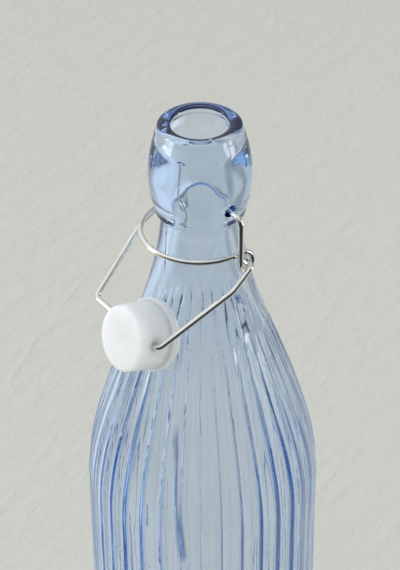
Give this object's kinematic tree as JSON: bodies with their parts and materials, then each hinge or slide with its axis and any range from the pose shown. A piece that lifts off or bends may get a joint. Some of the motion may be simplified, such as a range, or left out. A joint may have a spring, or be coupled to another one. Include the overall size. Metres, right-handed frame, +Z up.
{
  "type": "swing-top glass bottle",
  "caption": "Tall fluted blue glass bottle with a narrow neck, a wire lever and bail swing-top closure, and a plastic stopper with a rubber gasket.",
  "frame": {"origin": "middle of the standing ring, on the surface that the bottle stands on", "axes": "+Z up along the bottle's axis; the closure's pivots lie on X, and its lever loop and stopper hang on the -Y side"},
  "size_m": [0.0822, 0.0822, 0.315],
  "materials": {
    "blue_glass": "clear pale blue, polished",
    "wire_steel": "bright nickel-like plating on drawn wire",
    "white_plastic": "satin, slightly translucent moulding",
    "clear_rubber": "translucent silicone-like"
  },
  "bodies": {
    "bottle_body": {"bottle": "blue_glass"},
    "lever_body": {"lever_wire": "wire_steel"},
    "bail_body": {"bail_wire": "wire_steel"},
    "stopper_body": {"stopper": "white_plastic", "gasket": "clear_rubber"}
  },
  "joints": [
    {"name": "lever_hinge", "type": "hinge", "parent": "bottle_body", "child": "lever_body", "pos_m": [0, 0, 0.2893], "axis": [-1, 0, 0], "range_deg": [0, 80]},
    {"name": "bail_hinge", "type": "hinge", "parent": "lever_body", "child": "bail_body", "pos_m": [0, 0.0029, 0.2711], "axis": [-1, 0, 0], "range_deg": [0, 44]},
    {"name": "stopper_hinge", "type": "hinge", "parent": "bail_body", "child": "stopper_body", "pos_m": [0, -0.03084, 0.24851], "axis": [-1, 0, 0], "range_deg": [-2, 8]}
  ]
}
